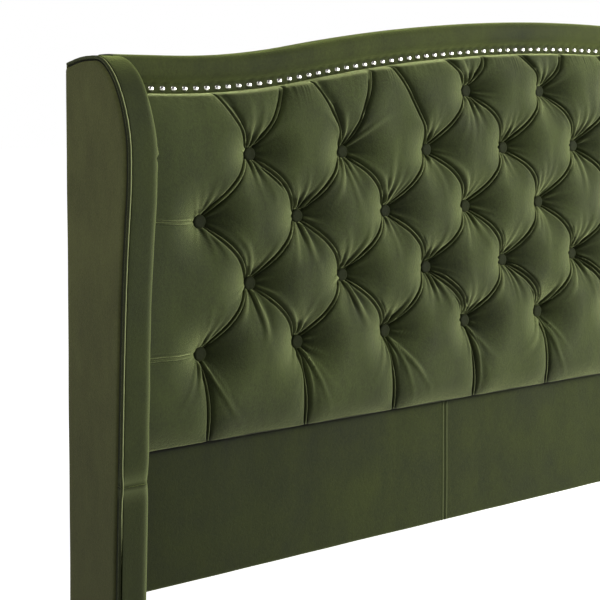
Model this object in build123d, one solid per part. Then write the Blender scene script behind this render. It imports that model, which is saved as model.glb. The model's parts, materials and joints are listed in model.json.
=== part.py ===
from build123d import *
import os
from math import asin, cos, radians, sin, sqrt, tan

# King-size wing headboard. Millimetres, +Z up, front faces -Y.
# The origin is on the floor, in the middle of the width and of the depth.

# Overall sizes
overall_width = 2080
overall_height = 1270
overall_depth = 205
wing_thickness = 50

# Outline of the top edge
crown_rise = 82          # middle of the crown above the level shoulders
crown_share = 0.72       # part of the shoulder-to-middle run that bulges upwards
shoulder_flat = 100      # level stretch beside each wing
wing_step = 5            # wing top below the shoulder

# Heights
glide_height = 6
apron_bottom = 355
apron_height = 223

# Front-to-back layers of the middle unit
dust_cover_thickness = 1.5
frame_thickness = 32
board_thickness = 12
apron_pad_thickness = 17
band_thickness = 19
tuft_thickness = 62
cover_thickness = 2
unit_clearance = 1       # middle unit to each wing
seam_gap = 1

# Frame members
leg_width = 55
rail_height = 70
top_rail_height = 90
washer_gap = 6.75        # between a tie washer and the upright beside it
edge_padding = 12        # padding over the top edge of the frame
hem_thickness = 2        # apron cover where it turns under the frame
apron_fillet = 5

# Tufting
tuft_pitch = 187         # button to button along a row
tuft_row_pitch = 105     # row to row
first_row_rise = 138.5   # first row of buttons above the seam
tuft_headroom = 55       # least pad above a button
tuft_margin = 140        # least distance from a button to the wing
pad_fillet = 24
button_radius = 11.25
button_rim = 4
button_dome = 4
button_recess = 49       # button front below the front of the cover
well_mouth_radius = 34
well_clearance = 1
twine_radius = 1
twine_hole_clearance = 0.1
board_hole_radius = 4
washer_radius = 10
washer_thickness = 1.5
knot_radius = 2.5
knot_length = 3

# Border band and nails
pad_drop = 61            # top edge of the tufted pad below the outline
band_width = 60
band_lip = 6             # thickness of the band under the nails
band_lip_width = 14
band_fillet = 10
nail_drop = 52.5
nail_pitch = 20
nail_radius = 5.5
nail_dome = 2.6
nail_rim = 0.3
nail_shank_radius = 0.8
nail_shank_length = 14
nail_clearance = 0.1
nail_side_margin = 6

# Wings
side_cover_thickness = 3
wing_board_thickness = 9
inner_pad_thickness = 5
front_pad_thickness = 15
wing_pad_fillet = 13
back_cover_thickness = 2
post_width = 45
rib_width = 40
foot_block_height = 60
piping_radius = 2.5
piping_clearance = 0.1
wing_seam_drop = 16      # seam across the wing below the apron seam
leg_setback = 48.5       # front of the wing at the floor, behind its fullest point
waist_setback = 32       # the same at the apron seam
bulge_drop = 152         # fullest part of the wing below its top

# Fasteners and fittings
slot_width = 9
slot_length = 50
slot_spacing = 80
slot_height = 190        # middle of the pair of slots
bolt_radius = 4
bolt_head_radius = 7
bolt_head_height = 5
bolt_grip = 12           # bolt in its threaded insert
bolt_clearance = 0.3
bolt_rail_gap = 40       # bolt to the rail beside it
bolt_washer_radius = 10
bolt_washer_thickness = 1.6
insert_radius = 6
insert_length = 16
screw_radius = 2.5
screw_grip = 45          # screw in the end of a rail
screw_head_radius = 4.5
screw_head_height = 3
screw_clearance = 0.1
screw_inset = 18
glide_radius = 11

# Worked out from the sizes above
inner_half = overall_width / 2 - wing_thickness
unit_half = inner_half - unit_clearance
shoulder_z = overall_height - crown_rise
wing_top = shoulder_z - wing_step
seam_z = apron_bottom + apron_height
frame_bottom = apron_bottom + hem_thickness
back_y = overall_depth / 2
front_y = -overall_depth / 2
frame_back = back_y - dust_cover_thickness
frame_front = frame_back - frame_thickness
board_front = frame_front - board_thickness
band_front = board_front - band_thickness
lip_front = board_front - band_lip
apron_front = board_front - apron_pad_thickness
foam_front = board_front - tuft_thickness
cover_front = foam_front - cover_thickness
leg_inner = unit_half - leg_width
shoulder_run = inner_half - shoulder_flat
radii_sum = (shoulder_run**2 + crown_rise**2) / (2 * crown_rise)
crown_radius = crown_share * radii_sum
shoulder_radius = radii_sum - crown_radius
join_angle = asin(shoulder_run / radii_sum)
crown_centre_z = overall_height - crown_radius
shoulder_centre_z = shoulder_z + shoulder_radius
button_front = cover_front + button_recess
button_back = button_front + button_dome + button_rim
upright_x = 1.75 * tuft_pitch    # half-way between two columns of buttons
upright_width = tuft_pitch / 2 - 2 * washer_radius - 2 * washer_gap
apron_seam_x = unit_half / 3
band_lip_drop = band_width - band_lip_width
wing_seam_z = seam_z - wing_seam_drop
leg_y = (frame_front + frame_back) / 2


def crown_height(x, drop):
    """Height of the top outline at x, for a line that runs drop below it."""
    run = abs(x)
    if run >= shoulder_run:
        return shoulder_z - drop
    if run <= (crown_radius - drop) * sin(join_angle):
        return crown_centre_z + sqrt((crown_radius - drop) ** 2 - run**2)
    return shoulder_centre_z - sqrt((shoulder_radius + drop) ** 2 - (shoulder_run - run) ** 2)


def crown_line(drop, half):
    """The edges of the top outline from left to right, drop below it."""
    crown = crown_radius - drop
    shoulder = shoulder_radius + drop

    def shoulder_point(side, angle):
        return (side * (shoulder_run - shoulder * sin(angle)), 0,
                shoulder_centre_z - shoulder * cos(angle))

    ends = [(side * half, 0, shoulder_z - drop) for side in (-1, 1)]
    turns = [shoulder_point(side, 0) for side in (-1, 1)]
    middles = [shoulder_point(side, join_angle / 2) for side in (-1, 1)]
    joins = [shoulder_point(side, join_angle) for side in (-1, 1)]
    return [
        Line(ends[0], turns[0]),
        ThreePointArc(turns[0], middles[0], joins[0]),
        ThreePointArc(joins[0], (0, 0, crown_centre_z + crown), joins[1]),
        ThreePointArc(joins[1], middles[1], turns[1]),
        Line(turns[1], ends[1]),
    ]


def crowned_slab(drop, half, bottom, front, back):
    """A flat slab under the top outline, between two heights and two depths."""
    left_foot = (-half, 0, bottom)
    right_foot = (half, 0, bottom)
    top_left = (-half, 0, shoulder_z - drop)
    top_right = (half, 0, shoulder_z - drop)
    sides = [Line(top_right, right_foot), Line(right_foot, left_foot), Line(left_foot, top_left)]
    face = Face(Wire(crown_line(drop, half) + sides))
    return Pos(0, back, 0) * extrude(face, amount=back - front, dir=(0, -1, 0))


def block(x, y, z):
    """A box between two values on each axis."""
    size = [abs(end - start) for start, end in (x, y, z)]
    middle = [(start + end) / 2 for start, end in (x, y, z)]
    return Pos(*middle) * Box(*size)


def disc(radius, x, z, y_from, y_to):
    """A cylinder along Y."""
    return Pos(x, (y_from + y_to) / 2, z) * Rot(90, 0, 0) * Cylinder(radius, abs(y_to - y_from))


def rod(radius, y, z, x_from, x_to):
    """A cylinder along X."""
    return Pos((x_from + x_to) / 2, y, z) * Rot(0, 90, 0) * Cylinder(radius, abs(x_to - x_from))


def domed(radius, rim, dome, x, z, back):
    """A low dome on a rim, facing the front, with its flat back at a depth."""
    sphere_radius = (radius**2 + dome**2) / (2 * dome)
    outline = make_face([
        Line((0, 0), (radius, 0)),
        Line((radius, 0), (radius, rim)),
        RadiusArc((radius, rim), (0, rim + dome), -sphere_radius),
        Line((0, rim + dome), (0, 0)),
    ])
    return Pos(x, back, z) * Rot(90, 0, 0) * revolve(Plane.XZ * outline, Axis.Z)


def well(x, z, extra):
    """The cone in which one button sits, as cut from the cover or, wider by extra, from the foam."""
    seat_radius = button_radius + well_clearance + extra
    front = cover_front
    back = button_back + extra
    cone = Cone(seat_radius, well_mouth_radius + extra, back - front)
    return Pos(x, (front + back) / 2, z) * Rot(90, 0, 0) * cone


def both_sides(shape):
    """A shape and its mirror image on the other side."""
    return shape, mirror(shape, about=Plane.YZ)


def write(name, *shapes):
    """Writes one node, which may be a group of separate solids."""
    solids = [solid for shape in shapes for solid in shape.solids()]
    export_step(solids[0] if len(solids) == 1 else Compound(children=solids), f"parts/{name}.step")


def button_places():
    """Every button's (x, z): rows staggered by half a pitch, as far as the pad has room."""
    places = []
    row = 0
    while seam_z + first_row_rise + row * tuft_row_pitch < overall_height:
        z = seam_z + first_row_rise + row * tuft_row_pitch
        first = 0 if row % 2 else tuft_pitch / 2
        columns = int((inner_half - tuft_margin - first) / tuft_pitch)
        right = [first + i * tuft_pitch for i in range(columns + 1)]
        for x in sorted({-x for x in right} | set(right)):
            if crown_height(x, pad_drop) - z >= tuft_headroom:
                places.append((x, z))
        row += 1
    return places


def nail_places():
    """Every nail's (x, z), evenly spaced along the line of the nails."""
    line = Wire(crown_line(nail_drop, unit_half))
    usable = line.length - 2 * nail_side_margin
    count = round(usable / nail_pitch)
    stops = [nail_side_margin + i * usable / count for i in range(count + 1)]
    points = [line.position_at(stop, position_mode=PositionMode.LENGTH) for stop in stops]
    return [(point.X, point.Z) for point in points]


def soft_line(points):
    """A polyline on the YZ plane with every corner rounded as far as its two runs allow."""
    radii = []
    for before, here, after in zip(points, points[1:], points[2:]):
        into = Vector(*here) - Vector(*before)
        out = Vector(*after) - Vector(*here)
        half_turn = radians(into.get_angle(out)) / 2
        radii.append(0.45 * min(into.length, out.length) / tan(half_turn))
    return FilletPolyline(*points, radius=radii)


def wing_line(inset):
    """The front and top outline of a wing from the floor to its back, moved in by inset."""
    top = wing_top - inset
    bulge_z = top - bulge_drop
    outline = [
        (leg_setback, glide_height),
        ((leg_setback + waist_setback) / 2 + 2, 0.68 * seam_z),
        (waist_setback, seam_z + 8),
        (24, seam_z + 0.4 * (bulge_z - seam_z)),
        (14.5, seam_z + 0.68 * (bulge_z - seam_z)),
        (0, bulge_z - 34),
        (0, bulge_z + 30),
        (16.5, top - 73),
        (47.5, top - 28),
        (90, top),
        (155, top),
        (overall_depth, top - 8),
    ]
    last = len(outline) - 1
    return [(0, front_y + back + (0 if i == last else inset), z) for i, (back, z) in enumerate(outline)]


def wing_slab(inset, x_from, x_to, back=back_y):
    """A board or pad with the wing's outline, between two values of x and cut off at its back."""
    points = wing_line(inset)
    face = make_face([
        *soft_line(points).edges(),
        Line(points[-1], (0, back_y, glide_height)),
        Line((0, back_y, glide_height), points[0]),
    ])
    slab = Pos(x_from, 0, 0) * extrude(face, amount=x_to - x_from, dir=(1, 0, 0))
    room = block((x_from - 1, x_to + 1), (front_y - 1, back), (glide_height, overall_height))
    return slab & room


# ---------------------------------------------------------------- middle unit: frame

os.makedirs("parts", exist_ok=True)
buttons = button_places()
nails = nail_places()


def leg_slots(x):
    """Cutters for the pair of upright slots for a bed frame's bolts."""
    reach = (frame_front - 1, frame_back + 1)
    cutters = []
    for z in (slot_height - slot_spacing / 2, slot_height + slot_spacing / 2):
        straight = (slot_length - slot_width) / 2
        cutters.append(block((x - slot_width / 2, x + slot_width / 2), reach, (z - straight, z + straight)))
        cutters += [disc(slot_width / 2, x, z + end * straight, *reach) for end in (-1, 1)]
    return cutters


def bolt_heights():
    """Heights of the bolts that hold each wing to a leg, clear of the rails."""
    low = frame_bottom + rail_height + bolt_rail_gap
    high = shoulder_z - edge_padding - top_rail_height - bolt_rail_gap
    return [low, (low + high) / 2, high]


def screw_places():
    """Heights of the screws that hold the lower rails between the legs."""
    rails = [(frame_bottom, frame_bottom + rail_height),
             (seam_z - rail_height / 2, seam_z + rail_height / 2)]
    return [z for low, high in rails for z in (low + screw_inset, high - screw_inset)]


leg_x = unit_half - leg_width / 2
under_top_rail = crowned_slab(edge_padding + top_rail_height, unit_half, 0, frame_front, frame_back)

leg = block((leg_inner, unit_half), (frame_front, frame_back), (glide_height, overall_height)) & under_top_rail
leg -= leg_slots(leg_x)
leg -= [rod(bolt_radius + bolt_clearance, leg_y, z, leg_inner - 1, unit_half + 1) for z in bolt_heights()]
for z in screw_places():
    leg -= rod(screw_radius + screw_clearance, leg_y, z, leg_inner - 1, unit_half + 1)
    leg -= rod(screw_head_radius + screw_clearance, leg_y, z, unit_half - screw_head_height, unit_half + 1)
right_leg, left_leg = both_sides(leg)
write("leg_right", right_leg)
write("leg_left", left_leg)

rail_x = (-leg_inner, leg_inner)
frame_y = (frame_front, frame_back)
screw_holes = [
    rod(screw_radius + screw_clearance, leg_y, z, side * (leg_inner - screw_grip - 1), side * unit_half)
    for z in screw_places() for side in (-1, 1)
]
bottom_rail = block(rail_x, frame_y, (frame_bottom, frame_bottom + rail_height)) - screw_holes
middle_rail = block(rail_x, frame_y, (seam_z - rail_height / 2, seam_z + rail_height / 2)) - screw_holes
top_rail = crowned_slab(edge_padding, unit_half, 0, *frame_y) - under_top_rail
write("bottom_rail", bottom_rail)
write("middle_rail", middle_rail)
write("top_rail", top_rail)

upright_span = (upright_x - upright_width / 2, upright_x + upright_width / 2)
lower_upright = block(upright_span, frame_y, (frame_bottom + rail_height, seam_z - rail_height / 2))
upper_upright = block(upright_span, frame_y, (seam_z + rail_height / 2, overall_height)) & under_top_rail
for name, upright in (("lower_upright", lower_upright), ("upper_upright", upper_upright)):
    right, left = both_sides(upright)
    write(name + "_right", right)
    write(name + "_left", left)

nail_hole = nail_shank_radius + nail_clearance
nail_tip = lip_front + nail_shank_length
nail_holes = [disc(nail_hole, x, z, lip_front - 1, nail_tip) for x, z in nails]
board_holes = [disc(board_hole_radius, x, z, board_front - 1, frame_front + 1) for x, z in buttons]
tufting_board = crowned_slab(edge_padding, unit_half, seam_z + seam_gap, board_front, frame_front)
write("tufting_board", tufting_board - (board_holes + nail_holes))
apron_board = block((-unit_half, unit_half), (board_front, frame_front), (frame_bottom, seam_z - seam_gap))
write("apron_board", apron_board)

# ---------------------------------------------------------------- middle unit: upholstery


def front_corners(shape, front):
    """The long top and bottom edges at the front of a pad, without its two ends."""
    def is_long(edge):
        box = edge.bounding_box()
        return abs(box.min.Y - front) < 0.01 and abs(box.max.Y - front) < 0.01 and box.size.X > 1
    return shape.edges().filter_by(is_long)


twine_hole = twine_radius + twine_hole_clearance
twine_holes = [disc(twine_hole, x, z, button_back - 1, board_front + 1) for x, z in buttons]
cover_block = crowned_slab(pad_drop, unit_half, seam_z + seam_gap, cover_front, board_front)
cover_block = fillet(front_corners(cover_block, cover_front), pad_fillet)
foam_block = crowned_slab(pad_drop + cover_thickness, unit_half - cover_thickness,
                          seam_z + seam_gap + cover_thickness, foam_front, board_front)
foam_block = fillet(front_corners(foam_block, foam_front), pad_fillet - cover_thickness)
foam = foam_block - [well(x, z, cover_thickness) for x, z in buttons]
cover = cover_block - [well(x, z, 0) for x, z in buttons] - foam - twine_holes
write("tuft_foam", foam - twine_holes)
write("tufted_cover", cover)

write("tuft_buttons", *[domed(button_radius, button_rim, button_dome, x, z, button_back) for x, z in buttons])
washer_back = frame_front + washer_thickness
ties = []
for x, z in buttons:
    twine = disc(twine_radius, x, z, button_back, washer_back)
    ties.append(twine + disc(knot_radius, x, z, washer_back, washer_back + knot_length))
write("button_ties", *ties)
write("tie_washers", *[
    disc(washer_radius, x, z, frame_front, washer_back) - disc(twine_hole, x, z, frame_front - 1, washer_back + 1)
    for x, z in buttons
])

band_block = crowned_slab(0, unit_half, 0, band_front, frame_back)
top_edges = band_block.edges().filter_by(
    lambda e: e.bounding_box().min.Z > shoulder_z - 1 and e.bounding_box().size.X > 1)
band_block = fillet(top_edges.filter_by(lambda e: e.bounding_box().max.Y < board_front), band_fillet)
band = band_block - [
    crowned_slab(edge_padding, unit_half + 1, -1, board_front, frame_back + 1),
    crowned_slab(band_lip_drop, unit_half + 1, -1, band_front - 1, lip_front),
    crowned_slab(band_width, unit_half + 1, -1, band_front - 1, board_front + 1),
]
write("border_band", band - nail_holes)
write("nailheads", *[
    domed(nail_radius, nail_rim, nail_dome, x, z, lip_front) + disc(nail_shank_radius, x, z, lip_front, nail_tip)
    for x, z in nails
])

apron_spans = {
    "apron_cover_left": (-unit_half, -apron_seam_x - seam_gap / 2),
    "apron_cover_centre": (-apron_seam_x + seam_gap / 2, apron_seam_x - seam_gap / 2),
    "apron_cover_right": (apron_seam_x + seam_gap / 2, unit_half),
}
for name, (x_from, x_to) in apron_spans.items():
    face_pad = block((x_from, x_to), (apron_front, board_front), (apron_bottom, seam_z - seam_gap))
    face_pad = fillet(face_pad.edges().filter_by(Axis.X).group_by(Axis.Y)[0], apron_fillet)
    hem_span = (max(x_from, -leg_inner), min(x_to, leg_inner))
    hem = block(hem_span, (board_front, frame_back), (apron_bottom, frame_bottom))
    write(name, face_pad + hem)

write("dust_cover", crowned_slab(edge_padding, unit_half, frame_bottom, frame_back, back_y))

# ---------------------------------------------------------------- wings

outer_x = overall_width / 2
cover_x = outer_x - side_cover_thickness
outer_board_x = cover_x - wing_board_thickness
inner_board_outer = inner_half + inner_pad_thickness + wing_board_thickness
inner_board_inner = inner_half + inner_pad_thickness
core_back = back_y - back_cover_thickness
core = front_pad_thickness

# Bores through the inner pad and board for the bolts, and seats for the inserts in the post.
wing_bolt_holes = [
    rod(bolt_radius + bolt_clearance, leg_y, z, inner_half - 1, inner_board_outer + 1) for z in bolt_heights()
]
insert_x = (inner_board_outer, inner_board_outer + insert_length)
insert_seats = [rod(insert_radius, leg_y, z, *insert_x) for z in bolt_heights()]

side_cover = wing_slab(2 * piping_radius + piping_clearance, cover_x, outer_x)
outer_board = wing_slab(core, outer_board_x, cover_x, core_back)
inner_board = wing_slab(core, inner_board_inner, inner_board_outer, core_back) - wing_bolt_holes
spacer_x = (inner_board_outer, outer_board_x)
spacer = wing_slab(core, *spacer_x, core_back)
post = spacer & block(spacer_x, (core_back - post_width, core_back), (0, overall_height))
post -= insert_seats
rest = spacer & block(spacer_x, (front_y, core_back - post_width), (0, overall_height))
foot_block = rest & block(spacer_x, (front_y, back_y), (0, foot_block_height))
inside = wing_slab(core + rib_width, spacer_x[0] - 1, spacer_x[1] + 1, core_back - post_width)
front_rib = rest - inside - block(spacer_x, (front_y, back_y), (0, foot_block_height))
mid_block = (rest & inside) & block(spacer_x, (front_y, back_y), (seam_z, seam_z + rail_height))

pad = wing_slab(0, inner_half, cover_x)
inner_front_edges = pad.edges().filter_by(
    lambda e: e.bounding_box().max.X < inner_half + 0.01
    and e.bounding_box().max.Y < core_back - post_width
    and e.bounding_box().min.Z > glide_height - 1
    and e.bounding_box().size.Z > 0.5)
pad = fillet(inner_front_edges, wing_pad_fillet)
pad -= wing_slab(core, inner_board_inner, cover_x + 1)
groove_x = outer_x - 2 * piping_radius - piping_clearance
groove = wing_slab(0, groove_x, outer_x, overall_depth)
groove -= wing_slab(2 * piping_radius + 4 * piping_clearance, groove_x - 1, outer_x + 1, overall_depth)
pad -= groove
pad -= block((inner_half - 1, cover_x + 1), (core_back, back_y + 1), (0, overall_height))
pad -= wing_bolt_holes
above_seam = block((0, outer_x), (front_y - 1, back_y), (wing_seam_z + seam_gap / 2, overall_height))
below_seam = block((0, outer_x), (front_y - 1, back_y), (0, wing_seam_z - seam_gap / 2))

back_cover = wing_slab(0, inner_half, cover_x) & block(
    (inner_half, cover_x), (core_back, back_y), (0, overall_height))
back_cover -= groove

piping_path = soft_line(wing_line(piping_radius))
piping_start = piping_path @ 0
piping_section = Plane(origin=piping_start, z_dir=piping_path % 0) * Circle(piping_radius)
piping = sweep(piping_section, path=piping_path)
piping = Pos(outer_x - piping_radius, 0, 0) * piping
piping &= block((0, outer_x + 1), (front_y - 1, back_y), (glide_height, overall_height))

wing_nodes = {
    "wing_side_cover": side_cover,
    "wing_outer_board": outer_board,
    "wing_inner_board": inner_board,
    "wing_post": post,
    "wing_foot_block": foot_block,
    "wing_front_rib": front_rib,
    "wing_middle_block": mid_block,
    "wing_pad": pad & above_seam,
    "wing_leg_pad": pad & below_seam,
    "wing_back_cover": back_cover,
    "wing_piping": piping,
}
for name, shape in wing_nodes.items():
    right, left = both_sides(shape)
    write(name + "_right", right)
    write(name + "_left", left)

# ---------------------------------------------------------------- fasteners and feet

bolts, washers, inserts, screws = [], [], [], []
washer_x = leg_inner - bolt_washer_thickness
for z in bolt_heights():
    head = rod(bolt_head_radius, leg_y, z, washer_x - bolt_head_height, washer_x)
    bolts += both_sides(head + rod(bolt_radius, leg_y, z, washer_x, inner_board_outer + bolt_grip))
    washer = rod(bolt_washer_radius, leg_y, z, washer_x, leg_inner)
    washers += both_sides(washer - rod(bolt_radius + bolt_clearance, leg_y, z, washer_x - 1, leg_inner + 1))
    insert = rod(insert_radius, leg_y, z, *insert_x)
    inserts += both_sides(insert - rod(bolt_radius, leg_y, z, insert_x[0] - 1, insert_x[1] + 1))
for z in screw_places():
    head = rod(screw_head_radius, leg_y, z, unit_half - screw_head_height, unit_half)
    shank = rod(screw_radius, leg_y, z, leg_inner - screw_grip, unit_half - screw_head_height)
    screws += both_sides(head + shank)
write("wing_bolts", *bolts)
write("bolt_washers", *washers)
write("threaded_inserts", *inserts)
write("rail_screws", *screws)

glide = Pos(0, 0, glide_height / 2) * Cylinder(glide_radius, glide_height)
spacer_middle = (inner_board_outer + outer_board_x) / 2
glide_places = [
    (leg_x, leg_y),
    (spacer_middle, core_back - post_width / 2),
    (spacer_middle, front_y + leg_setback + core + rib_width / 2),
]
write("floor_glides", *[side for x, y in glide_places for side in both_sides(Pos(x, y, 0) * glide)])
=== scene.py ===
import json
from dataclasses import dataclass
from math import asin, cos, pi, radians, sin, sqrt

import bmesh
import bpy
import numpy as np
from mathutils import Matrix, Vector


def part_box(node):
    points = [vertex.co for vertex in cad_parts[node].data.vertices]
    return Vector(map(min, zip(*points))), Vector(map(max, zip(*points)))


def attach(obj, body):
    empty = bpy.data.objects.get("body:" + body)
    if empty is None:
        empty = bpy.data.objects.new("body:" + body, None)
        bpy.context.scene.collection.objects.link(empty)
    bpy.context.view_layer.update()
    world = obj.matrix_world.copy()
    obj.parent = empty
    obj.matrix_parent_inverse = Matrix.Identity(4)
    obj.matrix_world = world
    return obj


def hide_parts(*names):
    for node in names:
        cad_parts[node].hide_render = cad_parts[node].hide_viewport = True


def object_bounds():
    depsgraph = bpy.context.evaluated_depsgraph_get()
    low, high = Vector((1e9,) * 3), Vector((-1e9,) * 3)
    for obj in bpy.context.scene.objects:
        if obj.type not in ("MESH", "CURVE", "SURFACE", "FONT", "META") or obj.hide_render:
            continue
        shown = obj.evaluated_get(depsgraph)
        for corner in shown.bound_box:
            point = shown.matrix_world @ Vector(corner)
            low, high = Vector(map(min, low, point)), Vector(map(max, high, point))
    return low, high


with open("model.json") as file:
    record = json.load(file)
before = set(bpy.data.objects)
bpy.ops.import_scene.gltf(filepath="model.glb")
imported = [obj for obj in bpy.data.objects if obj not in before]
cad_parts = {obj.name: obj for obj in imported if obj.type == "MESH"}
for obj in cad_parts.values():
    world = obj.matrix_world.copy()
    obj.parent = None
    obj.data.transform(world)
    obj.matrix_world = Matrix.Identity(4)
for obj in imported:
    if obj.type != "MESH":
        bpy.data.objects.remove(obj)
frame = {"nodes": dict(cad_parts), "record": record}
cad_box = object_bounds()

# ---- sizes, in metres

MM = 0.001
SEED = 11

pad_low, pad_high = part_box("tufted_cover")
wing_low, wing_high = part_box("wing_pad_right")
leg_pad_low, leg_pad_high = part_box("wing_leg_pad_right")
side_low, side_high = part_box("wing_side_cover_right")

unit_half = pad_high.x
crown_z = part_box("border_band")[1].z
board_front = pad_high.y

# the top outline of the headboard
crown_rise = 82 * MM
crown_share = 0.72
shoulder_flat = 100 * MM
shoulder_z = crown_z - crown_rise
shoulder_run = wing_low.x - shoulder_flat
radii_sum = (shoulder_run**2 + crown_rise**2) / (2 * crown_rise)
crown_radius = crown_share * radii_sum
shoulder_radius = radii_sum - crown_radius
join_angle = asin(shoulder_run / radii_sum)

# tufting
pitch = 187 * MM
row_pitch = 105 * MM
first_row_z = pad_low.z + 137.5 * MM
button_radius = 11.25 * MM
button_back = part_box("tuft_buttons")[1].y
seat_y = button_back - 4.5 * MM    # where the cover meets the buttons
swell = seat_y - pad_low.y - 9 * MM    # from there to the fullest part of a diamond
pad_drop = 60.1 * MM
nail_drop = 52.5 * MM
nail_pitch = 20 * MM
nail_radius = 5.5 * MM
nail_dome = 2.6 * MM
nail_margin = 6 * MM    # from the end of the line to its last nail
lip_y = board_front - 6 * MM


def crown_height(x, drop):
    """Height of the top outline at x, or of the line that runs drop below it."""
    run = np.abs(x)
    crown = crown_radius - drop
    shoulder = shoulder_radius + drop
    bulge = crown_z - crown_radius + np.sqrt(np.maximum(crown**2 - run**2, 0))
    hollow_run = np.maximum(shoulder_run - run, 0)
    hollow = shoulder_z + shoulder_radius - np.sqrt(np.maximum(shoulder**2 - hollow_run**2, 0))
    beyond = np.where(run < shoulder_run, hollow, shoulder_z - drop)
    return np.where(run <= crown * sin(join_angle), bulge, beyond)


def crown_stops(drop, half, spacing, margin=0.0):
    """Points (x, z) evenly spaced along that line from one side to the other."""
    x = np.linspace(-half, half, 4001)
    z = crown_height(x, drop)
    along = np.concatenate([[0], np.cumsum(np.hypot(np.diff(x), np.diff(z)))])
    count = round((along[-1] - 2 * margin) / spacing)
    stops = margin + np.arange(count + 1) * (along[-1] - 2 * margin) / count
    return np.stack([np.interp(stops, along, x), np.interp(stops, along, z)], axis=1)


def smooth_step(x, low=0.0, high=1.0):
    """0 below low, 1 above high, and an even blend between."""
    t = np.clip((x - low) / (high - low), 0, 1)
    return t * t * (3 - 2 * t)


def quarter_turn(count, start=0):
    """Angles in radians, evenly from start to a right angle."""
    return np.linspace(start, pi / 2, count)


def hump(distance, width):
    """1 at a line, fading evenly to nothing on both sides of it over about twice the width."""
    return np.exp(-((distance / width) ** 2))


# ---- finishes


class Field:
    """A number, colour or vector that varies over a surface."""

    def __init__(self, finish, socket):
        self.finish = finish
        self.socket = socket

    def maths(self, operation, first, second):
        return self.finish.node("ShaderNodeMath", {"operation": operation}, {0: first, 1: second})

    def __add__(self, other):
        return self.maths("ADD", self, other)

    def __radd__(self, other):
        return self.maths("ADD", other, self)

    def __rsub__(self, other):
        return self.maths("SUBTRACT", other, self)

    def __rmul__(self, other):
        return self.maths("MULTIPLY", other, self)


class Finish:
    """One material: its node tree, its shader, and one way to add any other node."""

    def __init__(self, name):
        self.material = bpy.data.materials.new(name)
        self.material.use_nodes = True
        self.tree = self.material.node_tree
        self.tree.nodes.clear()
        self.shader = self.tree.nodes.new("ShaderNodeBsdfPrincipled")
        output = self.tree.nodes.new("ShaderNodeOutputMaterial")
        self.tree.links.new(self.shader.outputs[0], output.inputs["Surface"])
        self.place = self.node("ShaderNodeTexCoord", output="Object")

    def node(self, kind, settings=None, inputs=None, output=0):
        """Adds a node: its settings, then what its sockets hold. Returns one of its outputs."""
        node = self.tree.nodes.new(kind)
        for key, value in (settings or {}).items():
            if key == "stops":
                self.stops(node.color_ramp, value)
            else:
                setattr(node, key, value)
        self.fill(node, inputs or {})
        return Field(self, node.outputs[output])

    def stops(self, ramp, stops):
        """Sets a ramp's stops as (position, grey value)."""
        while len(ramp.elements) < len(stops):
            ramp.elements.new(0.5)
        for element, (position, value) in zip(ramp.elements, stops):
            element.position = position
            element.color = (value, value, value, 1)

    def fill(self, node, inputs):
        """Links or sets a node's sockets."""
        for key, value in inputs.items():
            if isinstance(value, Field):
                self.tree.links.new(value.socket, node.inputs[key])
            else:
                node.inputs[key].default_value = value

    def noise(self, scale, detail=2.0, roughness=0.5, stretch=(1, 1, 1)):
        """Soft random patches, scale of them to a metre, stretched along an axis by dividing it."""
        place = self.node("ShaderNodeMapping", inputs={"Vector": self.place, "Scale": stretch})
        return self.node("ShaderNodeTexNoise", {"noise_dimensions": "3D"},
                         {"Vector": place, "Scale": scale, "Detail": detail, "Roughness": roughness})

    def ramp(self, field, *stops):
        return self.node("ShaderNodeValToRGB", {"stops": stops}, {0: field})

    def mix(self, factor, first, second):
        """A blend of two colours."""
        return self.node("ShaderNodeMix", {"data_type": "RGBA"}, {0: factor, 6: first, 7: second}, output=2)

    def bump(self, height, strength, distance, after=None):
        inputs = {"Height": height, "Strength": strength, "Distance": distance}
        if after is not None:
            inputs["Normal"] = after
        return self.node("ShaderNodeBump", inputs=inputs)

    def set(self, **sockets):
        """Sets the shader's sockets; an underscore in a name stands for a space."""
        self.fill(self.shader, {key.replace("_", " "): value for key, value in sockets.items()})
        return self


# Painted light: the pale painted highlight and the near-black painted shade that velvet blends in by a mesh
# attribute.
PAINTED_HIGHLIGHT = (110, 118, 76)
PAINTED_SHADE = (6, 7, 3)


def colour(red, green, blue):
    """A display colour, 0 to 255, as the shader takes it."""
    def linear(value):
        share = value / 255
        return share / 12.92 if share <= 0.04045 else ((share + 0.055) / 1.055) ** 2.4
    return (linear(red), linear(green), linear(blue), 1.0)


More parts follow.
